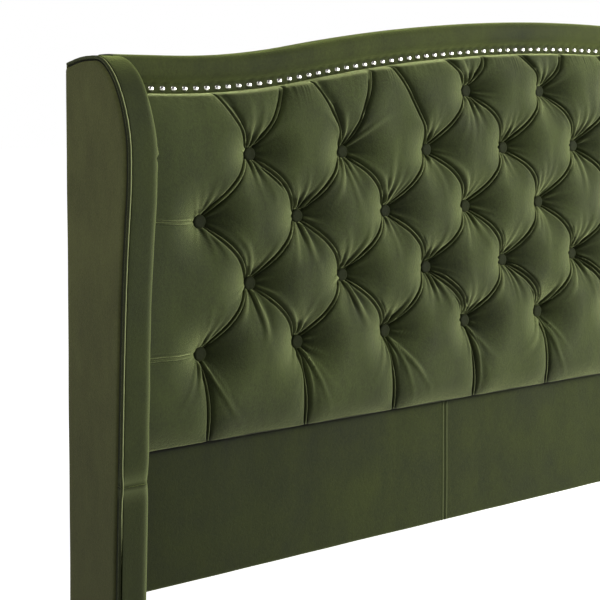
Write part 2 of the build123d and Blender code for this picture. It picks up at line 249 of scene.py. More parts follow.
def velvet(name, deep, brushed, sheen, sheen_tint, worn=PAINTED_HIGHLIGHT):
    """Cut-pile velvet: dark face on, paler where the pile is brushed or seen along the surface.

    The mesh's own attribute, read below, paints light and shade into the colour: a painted highlight where it
    is above 0, painted shade where it is below 0.
    """
    finish = Finish(name)
    # painted light and shade laid on by the mesh: a painted highlight above 0, painted shade below 0
    painted_shading_amount = finish.node("ShaderNodeAttribute", {"attribute_name": "worn"}, output=2)
    nap_and_shade = finish.noise(7.0, detail=4.0, roughness=0.55)
    handling = finish.noise(28.0, detail=3.0, roughness=0.6, stretch=(1, 1, 0.45))
    mottle = finish.noise(240.0, detail=4.0, roughness=0.8)
    pile = finish.noise(1400.0, detail=2.0, roughness=0.7)
    brush = finish.ramp(0.34 * nap_and_shade + 0.22 * handling + 0.34 * mottle + 0.1 * pile, (0.34, 0.0), (0.66, 1.0))
    ribs = finish.noise(520.0, detail=1.0, stretch=(1, 1, 0.35))
    brushed_pile = finish.mix(brush, colour(*deep), colour(*brushed))
    highlighted_pile = finish.mix(painted_shading_amount, brushed_pile, colour(*worn))
    grain = finish.bump(0.6 * pile + 0.4 * ribs, 0.35, 0.5 * MM)
    return finish.set(
        Base_Color=finish.mix(0 - painted_shading_amount, highlighted_pile, colour(*PAINTED_SHADE)),
        Roughness=0.78 + 0.14 * brush,
        Specular_IOR_Level=0.18,
        Sheen_Weight=sheen,
        Sheen_Roughness=0.42,
        Sheen_Tint=colour(*sheen_tint),
        Normal=finish.bump(mottle, 0.5, 1.7 * MM, after=grain),
    ).material


def timber(name, pale, dark, grain):
    """Planed softwood; grain is the scale along X, Y and Z, small along the board."""
    finish = Finish(name)
    drift = finish.noise(3.0, detail=2.0, stretch=grain)
    rings = finish.node("ShaderNodeTexWave", {"wave_type": "BANDS", "bands_direction": "DIAGONAL"}, {
        "Vector": finish.node("ShaderNodeMapping", inputs={"Vector": finish.place, "Scale": grain}),
        "Scale": 22.0, "Distortion": 5.0, "Detail": 3.0, "Detail Scale": 1.2})
    fibre = finish.noise(160.0, detail=3.0, stretch=grain)
    figure = 0.55 * rings + 0.25 * drift + 0.2 * fibre
    return finish.set(
        Base_Color=finish.mix(figure, colour(*pale), colour(*dark)),
        Roughness=0.5 + 0.25 * fibre,
        Normal=finish.bump(figure, 0.2, 0.4 * MM),
    ).material


def metal(name, tone, roughness):
    """Plated metal with faint handling marks."""
    finish = Finish(name)
    marks = finish.noise(300.0, detail=3.0)
    return finish.set(
        Base_Color=finish.mix(marks, colour(*tone), tuple(0.8 * c for c in colour(*tone)[:3]) + (1.0,)),
        Metallic=1.0,
        Roughness=roughness + 0.12 * marks,
        Normal=finish.bump(marks, 0.06, 0.2 * MM),
    ).material


def plain_cloth(name, tone, dark, scale, bump):
    """Dull cloth or foam with a fine open texture."""
    finish = Finish(name)
    fibre = finish.noise(scale, detail=3.0, roughness=0.7)
    patch = finish.noise(12.0, detail=2.0)
    return finish.set(
        Base_Color=finish.mix(0.6 * fibre + 0.4 * patch, colour(*tone), colour(*dark)),
        Roughness=0.82 + 0.15 * fibre,
        Normal=finish.bump(fibre, bump, 0.5 * MM),
    ).material


OLIVE_SHEEN = (202, 213, 146)
DEEP_SHEEN = (188, 205, 116)
SIDE_SHEEN = (200, 200, 128)
PINE = ((214, 178, 128), (176, 132, 82))
pad_velvet = velvet("pad_velvet", (21, 25, 9), (62, 71, 33), 0.9, OLIVE_SHEEN)
trim_velvet = velvet("trim_velvet", (18, 22, 6), (61, 68, 29), 0.55, DEEP_SHEEN)
wing_velvet = velvet("wing_velvet", (17, 21, 6), (50, 57, 25), 0.66, DEEP_SHEEN)
leg_velvet = velvet("leg_velvet", (13, 16, 4), (42, 48, 19), 0.66, DEEP_SHEEN)
apron_velvet = velvet("apron_velvet", (14, 18, 3), (51, 58, 22), 0.37, DEEP_SHEEN)
# The cord's pale colour is a painted highlight along its lit side, and its dark base is painted shade of the
# groove.
cord_velvet = velvet("cord_velvet", (27, 31, 15), (54, 60, 31), 0.6, OLIVE_SHEEN, worn=(150, 158, 108))
# A dark velvet laid on faces in grooves and seams as painted shade, not a cloth of its own.
painted_shade_velvet = velvet("painted_shade_velvet", (14, 16, 8), (24, 27, 13), 0.15, OLIVE_SHEEN)
side_velvet = velvet("side_velvet", (61, 64, 35), (106, 110, 65), 0.4, SIDE_SHEEN)
button_velvet = velvet("button_velvet", (16, 20, 5), (34, 39, 13), 0.2, DEEP_SHEEN)
foam = plain_cloth("foam", (240, 230, 190), (222, 208, 160), 900.0, 0.4)
cambric = plain_cloth("cambric", (26, 26, 27), (40, 40, 41), 1600.0, 0.35)
twine = plain_cloth("twine", (205, 195, 168), (170, 158, 128), 700.0, 0.5)
upright_pine = timber("upright_pine", *PINE, (1.0, 1.0, 0.08))
rail_pine = timber("rail_pine", *PINE, (0.08, 1.0, 1.0))
plywood = timber("plywood", (206, 176, 134), (170, 136, 94), (0.15, 1.0, 0.5))
nickel = metal("nickel", (222, 220, 214), 0.14)
zinc = metal("zinc", (176, 180, 186), 0.32)
glide_plastic = plain_cloth("glide_plastic", (30, 30, 32), (44, 44, 46), 400.0, 0.1)

node_finishes = {
    "velvet_pad": pad_velvet,
    "velvet_trim": trim_velvet,
    "velvet_side": side_velvet,
    "foam": foam,
    "cambric": cambric,
    "twine": twine,
    "pine": upright_pine,
    "plywood": plywood,
    "nickel": nickel,
    "zinc_steel": zinc,
    "glide_plastic": glide_plastic,
}
for part in frame["record"]["subparts"]:
    node = frame["nodes"][part["node"]]
    finish = rail_pine if part["node"].endswith("_rail") else node_finishes[part["material_slot"]]
    node.data.materials.clear()
    node.data.materials.append(finish)

# ---- making pieces


def new_piece(name, shape, finish, stands_for=(), sharp=50, shaded=None):
    """Makes a bmesh into a finished piece on the body, smooth but for edges sharper than an angle.

    Shaded is the finish of the faces whose material index is 1, a dark finish painted as shade.
    """
    bmesh.ops.recalc_face_normals(shape, faces=shape.faces)
    mesh = bpy.data.meshes.new(name)
    shape.to_mesh(mesh)
    shape.free()
    mesh.shade_smooth()
    mesh.set_sharp_from_angle(angle=radians(sharp))
    piece = bpy.data.objects.new(name, mesh)
    bpy.context.scene.collection.objects.link(piece)
    mesh.materials.append(finish)
    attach(piece, "root")
    if stands_for:
        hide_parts(*stands_for)
    if shaded is not None:
        mesh.materials.append(shaded)
    return piece


def read_points(shape):
    """Every vertex of a bmesh, as an array."""
    return np.array([vertex.co for vertex in shape.verts])


def move_points(shape, points):
    """Puts every vertex of a bmesh where the array says."""
    for vertex, point in zip(shape.verts, points):
        vertex.co = point


def merge_points(shape, distance=0.02 * MM):
    """Makes one vertex of those that lie together."""
    bmesh.ops.remove_doubles(shape, verts=shape.verts, dist=distance)


def paint_shading(shape, values):
    """Writes the light and shade painted on each vertex, for the velvet to read: a painted highlight above 0,
    painted shade below 0.
    """
    layer = shape.verts.layers.float.new("worn")
    for vertex, value in zip(shape.verts, values):
        vertex[layer] = value


def add_grid(shape, columns, rows):
    """Adds a grid of quads to a shape. Returns its vertices, with the column and the row of each."""
    grid = bmesh.ops.create_grid(shape, x_segments=columns - 1, y_segments=rows - 1, size=0.5)["verts"]
    column = np.rint([(vertex.co.x + 0.5) * (columns - 1) for vertex in grid]).astype(int)
    row = np.rint([(vertex.co.y + 0.5) * (rows - 1) for vertex in grid]).astype(int)
    return grid, column, row


def map_grid(columns, rows, place):
    """A sheet of quads whose points place(column, row) gives, with column and row as arrays of indices."""
    shape = bmesh.new()
    grid, column, row = add_grid(shape, columns, rows)
    for vertex, point in zip(grid, place(column, row)):
        vertex.co = point
    return shape


def close_to_plane(shape, axis, level):
    """Carries the rim of a sheet straight back to a plane and closes it there."""
    rim = [edge for edge in shape.edges if edge.is_boundary]
    skirt = bmesh.ops.extrude_edge_only(shape, edges=rim)["geom"]
    for element in skirt:
        if isinstance(element, bmesh.types.BMVert):
            element.co[axis] = level
    loop = [element for element in skirt if isinstance(element, bmesh.types.BMEdge)]
    bmesh.ops.contextual_create(shape, geom=loop)


def close_ends(shape):
    """Joins the two long edges of a wrapped sheet and caps its open ends."""
    merge_points(shape)
    bmesh.ops.holes_fill(shape, edges=[edge for edge in shape.edges if edge.is_boundary], sides=0)


def soften_edges(shape, width, segments):
    """Rounds every edge of a shape."""
    bmesh.ops.bevel(shape, geom=shape.edges[:], offset=width, segments=segments, profile=0.5, affect="EDGES",
                    material=-1)


def slice_up(shape, axis, low, high, spacing):
    """Cuts a closed shape at even steps along an axis, so that it can take a soft form."""
    normal = [0, 0, 0]
    normal[axis] = 1
    for stop in np.arange(low + spacing, high - 0.3 * spacing, spacing):
        centre = [0, 0, 0]
        centre[axis] = stop
        geometry = shape.verts[:] + shape.edges[:] + shape.faces[:]
        bmesh.ops.bisect_plane(shape, geom=geometry, plane_co=centre, plane_no=normal, dist=1e-6)


def waves(points, sizes, amount, seed):
    """Gentle unevenness: sums of slow waves in random directions, about as large as amount."""
    rng = np.random.default_rng(seed)
    total = np.zeros(len(points))
    for size in sizes:
        for _ in range(4):
            heading = rng.normal(size=3)
            heading /= np.linalg.norm(heading)
            total += np.sin(points @ heading * 2 * pi / size + rng.uniform(0, 2 * pi))
    return amount * total / (2 * sqrt(len(sizes)))


# ---- tufting: where things are

HALF = pitch / 2
SIDE = unit_half
SIDE_RISE = 9 * MM    # the side pleats climb this much towards the wings
SEAM = pad_low.z


def button_places():
    """(column, row) of every button, with columns counted in half pitches from the middle."""
    places = []
    for row in range(4):
        last = 8 if row % 2 else 9
        places += [(column, row) for column in range(-last, last + 1, 2)]
    return places + [(column, 4) for column in (-3, -1, 1, 3)]


def button_point(column, row):
    return (column * HALF, first_row_z + row * row_pitch)


def top_point(x):
    """The point of the cover's top edge at x."""
    return (x, float(crown_height(x, pad_drop)))


def foot(column, share):
    """Where a pleat from a top button reaches the top edge, share of a pitch to one side."""
    return top_point(column * HALF + share * pitch)


# The pleats above the top buttons of the left half: (column, row), and the feet to the left and right.
TOP_PLEATS = {
    (-8, 3): (-0.38, 0.31),
    (-6, 3): (-0.37, 0.26),
    (-4, 3): (-0.47, None),
    (-3, 4): (-0.31, 0.15),
    (-1, 4): (-0.35, 0.23),
}

# The creases of a pleat: (distance beside it, strength, where it begins and ends, 0 to 1).
ONE_CREASE = ((0, 1, 0, 1),)
SIDE_CREASES = ((0, 1, 0, 1), (6 * MM, 0.7, 0, 1))
COMPANIONS = (
    ONE_CREASE,
    ((0, 1, 0, 1), (7 * MM, 0.45, 0, 0.45)),
    ((0, 1, 0, 1), (-7 * MM, 0.5, 0.55, 1)),
    ONE_CREASE,
    ((0, 1, 0, 1), (8 * MM, 0.6, 0, 1), (-7 * MM, 0.4, 0, 0.5)),
)


@dataclass
class Pleat:
    """A fold in the cover between two points.

    It rises from 0 at a button to its level over its reach, where 1 is a diamond's fullest part. The
    pad falls towards it over the width of its valley, and fold scales the depth of its creases. One with
    an open end runs out at an edge and has no button there.
    """

    start: tuple
    end: tuple
    level: float
    reach: float
    fold: float = 1.0
    open_end: bool = False
    valley: float = 66 * MM
    creases: tuple = ONE_CREASE

    def measure(self, x, z):
        """How far each point is from the pleat, beside it with a sign, along it and from a button.

        The last value is the pleat's length.
        """
        run = np.subtract(self.end, self.start)
        length = np.hypot(*run)
        run = run / length
        along = (x - self.start[0]) * run[0] + (z - self.start[1]) * run[1]
        aside = (x - self.start[0]) * run[1] - (z - self.start[1]) * run[0]
        held = np.clip(along, 0, length)
        distance = np.hypot(aside, along - held)
        from_button = held if self.open_end else np.minimum(held, length - held)
        return distance, aside, along, from_button, length


def all_pleats():
    """Every pleat of the cover."""
    places = set(button_places())
    pleats = []
    half_diagonal = sqrt(HALF**2 + row_pitch**2) / 2
    for number, (column, row) in enumerate(sorted(places)):
        start = button_point(column, row)
        for turn in (-1, 1):
            if (column + turn, row + 1) in places:
                creases = COMPANIONS[(2 * number + row) % len(COMPANIONS)] if turn < 0 else ONE_CREASE
                end = button_point(column + turn, row + 1)
                pleats.append(Pleat(start, end, 0.8, half_diagonal, creases=creases))
        if row == 0:
            pleats.append(Pleat(start, (start[0], SEAM), 0.66, 90 * MM, open_end=True))
        if column in (-9, 9):
            end = (SIDE if column > 0 else -SIDE, start[1] + SIDE_RISE)
            pleats.append(Pleat(start, end, 0.95, 62 * MM, fold=0.26, open_end=True, valley=40 * MM,
                                creases=SIDE_CREASES))
    for (column, row), shares in TOP_PLEATS.items():
        start = button_point(column, row)
        reach = 66 * MM if row == 3 else 45 * MM
        for end in [foot(column, share) for share in shares if share is not None]:
            for mirror in (1, -1):
                pleats.append(Pleat((mirror * start[0], start[1]), (mirror * end[0], end[1]), 0.72, reach,
                                    open_end=True, valley=48 * MM))
    return pleats


# ---- tufting: the sheet of the cover


def steps(first, growth, largest, length, close=0.0):
    """Fractions of a length: even fine steps for the close stretch, then growing to a largest step."""
    stops = [0.0]
    step = first
    while stops[-1] + step < length:
        stops.append(stops[-1] + step)
        if stops[-1] > close:
            step = min(step * growth, largest)
    return np.array(stops) / stops[-1]


finest = 0.6 * MM
widest = 3.8 * MM
half_run = steps(finest, 1.17, widest, 70 * MM, 4 * MM)
BETWEEN_BUTTONS = np.concatenate([half_run / 2, 1 - half_run[-2::-1] / 2])
to_middle = steps(finest, 1.17, widest, 100 * MM, 4 * MM)
from_edge = steps(1.1 * MM, 1.3, widest, 38 * MM)
MIDDLE_SHARE = 0.72
TO_EDGE = np.concatenate([to_middle * MIDDLE_SHARE, 1 - from_edge[-2::-1] * (1 - MIDDLE_SHARE)])
FAN = np.linspace(0, 1, 23)


def cover_cells():
    """Corners of every four-sided cell of the cover, each with how its two directions are divided.

    Corners run start, across, across and up, up. The first direction is across.
    """
    places = set(button_places())
    b = button_point
    cells = []
    for column, row in [(c, r) for r in range(1, 4) for c in range(-8, 9)]:
        around = [(column, row - 1), (column + 1, row), (column, row + 1), (column - 1, row)]
        if (column, row) not in places and all(place in places for place in around):
            cells.append(([b(*place) for place in around], BETWEEN_BUTTONS, BETWEEN_BUTTONS))
    for column in range(-8, 9, 2):
        middle = (column * HALF, SEAM)
        for turn in (-1, 1):
            edge = ((column + turn) * HALF, SEAM)
            cells.append(([b(column, 1), b(column + turn, 0), edge, middle], BETWEEN_BUTTONS, TO_EDGE))
    feet = {place: [share and foot(place[0], share) for share in shares]
            for place, shares in TOP_PLEATS.items()}
    low, level, high, shoulder = b(-9, 0), b(-8, 1), b(-9, 2), b(-8, 3)
    low_side = (-SIDE, low[1] + SIDE_RISE)
    level_side = (-SIDE, level[1])
    high_side = (-SIDE, high[1] + SIDE_RISE)
    shoulder_side = (-SIDE, shoulder[1])
    half = [
        ([low, (low[0], SEAM), (-SIDE, SEAM), low_side], TO_EDGE),
        ([low, level, level_side, low_side], BETWEEN_BUTTONS),
        ([level, high, high_side, level_side], BETWEEN_BUTTONS),
        ([high, shoulder, shoulder_side, high_side], BETWEEN_BUTTONS),
        ([shoulder, shoulder_side, top_point(-SIDE), feet[(-8, 3)][0]], TO_EDGE),
    ]
    for column in (-7, -5):
        for turn in (-1, 1):
            neighbour = (column + turn, 3)
            side = 1 if turn < 0 else 0
            corners = [b(column, 2), b(*neighbour), feet[neighbour][side], top_point(column * HALF)]
            half.append((corners, BETWEEN_BUTTONS))
    half += [
        ([b(-4, 3), b(-3, 4), feet[(-3, 4)][0], feet[(-4, 3)][0]], BETWEEN_BUTTONS),
        ([b(-2, 3), b(-3, 4), feet[(-3, 4)][1], top_point(-2 * HALF)], BETWEEN_BUTTONS),
        ([b(-2, 3), b(-1, 4), feet[(-1, 4)][0], top_point(-2 * HALF)], BETWEEN_BUTTONS),
        ([b(0, 3), b(-1, 4), feet[(-1, 4)][1], top_point(0.0)], BETWEEN_BUTTONS),
    ]
    for place in [(-8, 3), (-6, 3), (-3, 4), (-1, 4)]:
        half.append(([b(*place), b(*place), feet[place][1], feet[place][0]], FAN))
    for corners, across in half:
        cells.append((corners, across, TO_EDGE))
        cells.append(([(-x, z) for x, z in corners], across, TO_EDGE))
    return cells


def lay_out_sheet():
    """The whole cover as one flat sheet of quads, finest at the pleats."""
    sheet = bmesh.new()
    for corners, across, up in cover_cells():
        grid, columns, rows = add_grid(sheet, len(across), len(up))
        s = across[columns][:, None]
        t = up[rows][:, None]
        start, beside, opposite, above = (np.array(corner) for corner in corners)
        flat = (1 - s) * (1 - t) * start + s * (1 - t) * beside + s * t * opposite + (1 - s) * t * above
        x = flat[:, 0]
        z = flat[:, 1]
        if opposite[1] > start[1] and abs(opposite[1] - top_point(opposite[0])[1]) < 1e-6:
            straight = above[1] + s[:, 0] * (opposite[1] - above[1])
            z = z + t[:, 0] * (crown_height(x, pad_drop) - straight) * smooth_step(t[:, 0])
        for vertex, px, pz in zip(grid, x, z):
            vertex.co = (px, 0, pz)
    merge_points(sheet)
    return sheet


LIP_RISE = 1.45           # how far a lip stands above its clefts, against how deep they are
PLEAT_DEPTH = 7 * MM
PLEAT_BANK = 5.5 * MM     # how far the pad slopes down to a cleft
PLEAT_SPREAD = 34 * MM    # a pleat widens over this far from its button
BOWL_REACH = 76 * MM
# how far from a button its painted highlight and painted shade reach
BUTTON_SHADING_REACH = 42 * MM
BLEND = 6                 # how sharply one hollow takes over from the next


def fold_profile(aside, lip_half, left, right, bank):
    """A folded pleat in section: 0 on the pad, -1 in the clefts left and right of its rounded lip."""
    away = np.abs(aside)
    cleft = np.where(aside < 0, left, right)
    lip = np.sqrt(np.clip(1 - (away / lip_half) ** 2, 0, 1))
    reach = np.clip((lip_half + cleft + bank - away) / bank, 0, 1)
    shoulder = 1 - np.sqrt(1 - reach**2)
    return np.where(away < lip_half, -1 + LIP_RISE * lip, -shoulder)


def button_bowl(distance):
    """How deep the pad is drawn in around a button, 1 at its edge and 0 beyond its reach."""
    run = np.clip((distance - 0.8 * button_radius) / BOWL_REACH, 0, 1)
    return (1 - run) ** 2


def depths(x, z):
    """Three values at each point of the cover.

    They are how far it lies behind the fullest part of the pad, as a share of the swell, the small folds
    on top of that, in metres, and the light and shade painted on it, a painted highlight above 0 and
    painted shade below 0.
    """
    drop = np.zeros(len(x))
    folds = np.zeros(len(x))
    worn = np.zeros(len(x))
    for number, pleat in enumerate(all_pleats()):
        distance, aside, along, from_button, length = pleat.measure(x, z)
        near = distance < pleat.valley
        run = np.clip(from_button[near] / pleat.reach, 0, 1)
        level = pleat.level * np.sin(pi / 2 * run) ** 1.1
        valley = (1 - distance[near] / pleat.valley) ** 4
        drop[near] += ((1 - level) * valley) ** BLEND
        rng = np.random.default_rng(SEED + number)
        wander = rng.uniform(0.3, 0.9) * MM
        turns = rng.uniform(0.6, 1.1)
        phase = rng.uniform(0, 6)
        width = rng.uniform(0.85, 1.2)
        for offset, share, begin, end in pleat.creases:
            close = (np.abs(aside - offset) < 16 * MM) & (along > 0) & (along < length)
            t = along[close] / length
            spread = smooth_step(from_button[close], 0, PLEAT_SPREAD)
            line = offset * spread + wander * np.sin(t * 2 * pi * turns + phase)
            lip = (0.8 + 1.0 * spread) * width * MM
            side = 1 if pleat.end[1] > pleat.start[1] else -1
            fade = 1 - smooth_step(t, end - 0.1, end + 0.1) if end < 1 else np.ones(len(t))
            if begin > 0:
                fade = smooth_step(t, begin - 0.12, begin + 0.02) * (1 - smooth_step(t, end - 0.1, end + 0.1))
            rising = smooth_step(from_button[close], 4 * MM, 17 * MM)
            depth = pleat.fold * share * PLEAT_DEPTH * rising * fade
            beside = side * (aside[close] - line)
            left = (0.7 + 1.5 * spread) * MM
            right = (0.6 + 0.7 * spread) * MM
            folds[close] += depth * fold_profile(beside, lip, left, right, PLEAT_BANK * share)
            cleft = hump(np.abs(beside) - lip - 0.8 * MM, 1.2 * MM)
            # painted highlight on the pleat's lip and painted shade in its clefts
            worn[close] += (0.75 * hump(beside, 0.85 * lip) - 0.7 * cleft) * depth / PLEAT_DEPTH
    for place in button_places():
        bx, bz = button_point(*place)
        r = np.hypot(x - bx, z - bz)
        near = r < 100 * MM
        drop[near] += button_bowl(r[near]) ** BLEND
        # painted highlight on the slope left of each button, painted shade on the slope right of it
        toward = (x[near] - bx) / np.maximum(r[near], MM)
        nap_and_shade = 0.5 * np.clip(-toward, 0, 1) ** 1.5 - 0.2 * np.clip(toward, 0, 1) ** 2
        worn[near] += nap_and_shade * hump(r[near], BUTTON_SHADING_REACH)
    return drop ** (1 / BLEND), folds, worn


def gather_headings(row, rng):
    """Direction and strength of each crease round a button: below, above, then on both sides."""
    headings = [(upright + a, 1.0) for upright in (-pi / 2, pi / 2) for a in rng.uniform(-0.62, 0.62, 5)]
    headings += [(side + a, 0.6) for side in (0, pi) for a in rng.uniform(-0.6, 0.6, 5)]
    if row == 0:
        headings += [(-pi / 2 + a, strength) for a, strength in ((0.2, 1.7), (0.4, 1.6), (0.62, 1.4))]
    return headings


def gathers(x, z):
    """The fine creases that fan out from every button, in metres."""
    relief = np.zeros(len(x))
    for number, (column, row) in enumerate(button_places()):
        rng = np.random.default_rng(100 * SEED + number)
        bx, bz = button_point(column, row)
        dx = x - bx
        dz = z - bz
        r = np.hypot(dx, dz)
        near = (r > 8 * MM) & (r < 130 * MM)
        angle = np.arctan2(dz[near], dx[near])
        radius = r[near]
        for heading, strength in gather_headings(row, rng):
            length = rng.uniform(20, 46) * MM * max(strength, 0.55)
            bend = rng.normal(0, 0.12)
            width = rng.uniform(1.2, 1.9) * MM + 0.055 * radius
            if strength > 1:
                width *= 0.66
            turn = (angle - heading - bend * radius / (60 * MM) + pi) % (2 * pi) - pi
            across = turn * radius / width
            fade = smooth_step(radius, 9 * MM, 17 * MM) * np.exp(-(radius / length) ** 2 / 2)
            size = min(strength, 1) * rng.uniform(2.6, 5.0) * MM
            relief[near] += size * fade * (1 - across**2) * np.exp(-(across**2) / 2)
    return relief


def bow(x, z):
    """How far the slanting pleats are pulled up in their middle."""
    lift = np.zeros(len(x))
    for pleat in all_pleats():
        if not pleat.open_end:
            distance, aside, along, from_button, length = pleat.measure(x, z)
            t = np.clip(along / length, 0, 1)
            lift += 6.0 * MM * np.sin(pi * t) * hump(distance, 22 * MM)
    return lift


def edge_roll(distance, radius):
    """0 away from an edge, 1 at it, round like a rolled edge."""
    reach = np.clip(1 - distance / radius, 0, 1)
    return 1 - np.sqrt(1 - reach**2)


TOP_TAPER = (19 * MM, 54 * MM)       # how far back the cover is drawn at its top edge, and over what height
BOTTOM_TAPER = (17 * MM, 42 * MM)    # the same at its bottom edge
FRONT_Y = seat_y - swell


def tufted_cover():
    """The deep-buttoned velvet, modelled as one closed pad."""
    sheet = lay_out_sheet()
    points = read_points(sheet)
    x = points[:, 0]
    z = points[:, 2]
    top_gap = crown_height(x, pad_drop) - z
    bottom_gap = z - SEAM
    side_gap = SIDE - np.abs(x)
    drop, folds, worn = depths(x, z)
    relief = gathers(x, z)
    # painted highlight on the ridges of the gathers and painted shade between them; painted shade along the
    # bottom seam and towards the wings
    worn += 0.5 * np.clip(relief / (3 * MM), -1, 1)
    worn -= 0.75 * np.exp(-bottom_gap / (20 * MM))
    worn -= 0.3 * np.exp(-side_gap / (90 * MM))
    y = seat_y - swell * np.clip(1 - drop, 0, 1) - folds - relief
    y += waves(points, (0.21, 0.12), 1.2 * MM, SEED)
    pucker_points = np.column_stack([x, np.zeros((len(x), 2))])
    y += waves(pucker_points, (5 * MM, 8 * MM), 0.9 * MM, SEED + 1) * np.exp(-top_gap / (14 * MM))
    y += TOP_TAPER[0] * np.clip(1 - top_gap / TOP_TAPER[1], 0, 1) ** 2
    y += (FRONT_Y + BOTTOM_TAPER[0] - y) * np.clip(1 - bottom_gap / BOTTOM_TAPER[1], 0, 1) ** 1.7
    for gap, radius, back in ((top_gap, 5 * MM, lip_y), (bottom_gap, 2 * MM, board_front - 16 * MM),
                              (side_gap, 15 * MM, board_front - 25 * MM)):
        y = y + edge_roll(gap, radius) * np.maximum(back - y, 0)
    notch = np.zeros(len(x))
    for column in range(-9, 10, 2):
        notch += hump(x - column * HALF, 7 * MM)
    z = z + bow(x, z) + (1.5 + 0.8 * notch) * MM * np.exp(-bottom_gap / (6 * MM))
    move_points(sheet, np.stack([x, y, z], axis=1))
    paint_shading(sheet, worn)

    # the lowest row of faces takes the dark finish painted as the seam's shade; the cells there are taller
    # between the buttons
    beside_button = np.where(np.abs(x) > 9 * HALF, 1, np.abs((x / HALF + 1) % 2 - 1))
    cell_height = first_row_z - SEAM + (1 - beside_button) * row_pitch
    in_shade = set(np.flatnonzero(bottom_gap < 0.025 * cell_height))
    sheet.verts.index_update()
    for face in sheet.faces:
        face.material_index = int(all(vertex.index in in_shade for vertex in face.verts))
    close_to_plane(sheet, 1, board_front - 0.3 * MM)
    return new_piece("tufted_velvet", sheet, pad_velvet, ("tufted_cover", "tuft_foam"),
                     sharp=75, shaded=painted_shade_velvet)


tufted_cover()

# ---- buttons and nails


def turned(shape, x, z, profile, segments):
    """Spins a profile of (radius, y) points about an axis along Y into a closed round piece."""
    points = [shape.verts.new((x + radius, y, z)) for radius, y in profile]
    edges = [shape.edges.new(pair) for pair in zip(points, points[1:])]
    bmesh.ops.spin(shape, geom=points + edges, cent=(x, 0, z), axis=(0, 1, 0), angle=2 * pi, steps=segments,
                   use_merge=True)
    merge_points(shape, 0.01 * MM)


def covered_buttons():
    """Domed buttons with a flat back, each seated in the cover."""
    shape = bmesh.new()
    front = button_back - 9.5 * MM
    edge = button_radius + 0.4 * MM
    profile = [(0, button_back), (9.6 * MM, button_back), (edge - 0.3 * MM, button_back - 1.2 * MM)]
    for angle in quarter_turn(10):
        profile.append((edge * cos(angle) ** 0.35, seat_y - (seat_y - front) * sin(angle)))
    for place in button_places():
        turned(shape, *button_point(*place), profile, 28)
    return new_piece("covered_buttons", shape, button_velvet, ("tuft_buttons",))


def nails():
    """A line of domed nail heads along the lower edge of the border band."""
    shape = bmesh.new()
    seat = lip_y - 0.35 * MM
    profile = [(0, lip_y), (nail_radius * 0.9, lip_y), (nail_radius, seat)]
    for angle in (0.25, 0.5, 0.8, 1.1, 1.35):
        profile.append((nail_radius * cos(angle), seat - nail_dome * sin(angle)))
    profile.append((0, seat - nail_dome))
    for x, z in crown_stops(nail_drop, unit_half, nail_pitch, nail_margin):
        turned(shape, x, z, profile, 20)
    return new_piece("nail_heads", shape, nickel, ("nailheads",))


covered_buttons()
nails()

# ---- lines that the other soft pieces follow

seam_z = (pad_low.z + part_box("apron_cover_centre")[1].z) / 2
inner_x = wing_low.x
side_x = side_high.x
core_x = side_low.x
wing_front = cad_box[0].y
wing_top = wing_high.z
wing_floor = leg_pad_low.z
wing_back = wing_high.y
wing_seam_z = (wing_low.z + leg_pad_high.z) / 2


def run_of(points):
    """Distance along a line of points, from its start to each of them."""
    return np.concatenate([[0], np.cumsum(np.hypot(*np.diff(points, axis=0).T))])


def evenly(points, spacing):
    """The same line with its points evenly spaced."""
    along = run_of(points)
    stops = np.linspace(0, along[-1], round(along[-1] / spacing) + 1)
    return np.stack([np.interp(stops, along, points[:, k]) for k in (0, 1)], axis=1)


def wrapped(section, spacing):
    """A closed section with its points evenly spaced, its last point on its first."""
    points = np.array(section + section[:1])
    return evenly(points, spacing)


# ---- wings: outline


def wing_line():
    """The front and top outline of a wing as (y, z) points, from the floor to the back."""
    bulge_z = wing_top - 152 * MM
    rise = bulge_z - seam_z
    # how far behind the fullest point, and at what height
    setbacks = [
        (48.5 * MM, wing_floor),
        (42.25 * MM, 0.68 * seam_z),
        (32 * MM, seam_z + 8 * MM),
        (24 * MM, seam_z + 0.4 * rise),
        (14.5 * MM, seam_z + 0.68 * rise),
        (0, bulge_z - 34 * MM),
        (0, bulge_z + 30 * MM),
        (16.5 * MM, wing_top - 73 * MM),
        (47.5 * MM, wing_top - 28 * MM),
        (90 * MM, wing_top),
        (155 * MM, wing_top),
        (205 * MM, wing_top - 8 * MM),
    ]
    corners = np.array([(wing_front + back, z) for back, z in setbacks])
    line = [corners[0]]
    for before, here, after in zip(corners, corners[1:], corners[2:]):
        into = here - before
        out = after - here
        reach = 0.45 * min(np.hypot(*into), np.hypot(*out))
        start = here - into / np.hypot(*into) * reach
        end = here + out / np.hypot(*out) * reach
        for t in np.linspace(0, 1, 9):
            line.append((1 - t) ** 2 * start + 2 * t * (1 - t) * here + t**2 * end)
    line.append(corners[-1])
    return np.array(line)


def wing_stretch(low=None, high=None, inset=0.0, spacing=6 * MM, back=None):
    """Part of the wing's outline, moved in by inset, with the inward direction at each of its points."""
    line = evenly(wing_line(), 0.25 * MM)
    ahead = np.gradient(line, axis=0)
    ahead /= np.hypot(*ahead.T)[:, None]
    inward = np.stack([ahead[:, 1], -ahead[:, 0]], axis=1)
    line = line + inset * inward
    keep = line[:, 0] <= (wing_back if back is None else back)
    if low is not None:
        keep &= line[:, 1] >= low
    if high is not None:
        keep &= line[:, 1] <= high
    line = line[keep]
    inward = inward[keep]
    along = run_of(line)
    stops = np.linspace(0, along[-1], round(along[-1] / spacing) + 1)
    return [np.stack([np.interp(stops, along, part[:, k]) for k in (0, 1)], axis=1)
            for part in (line, inward)]


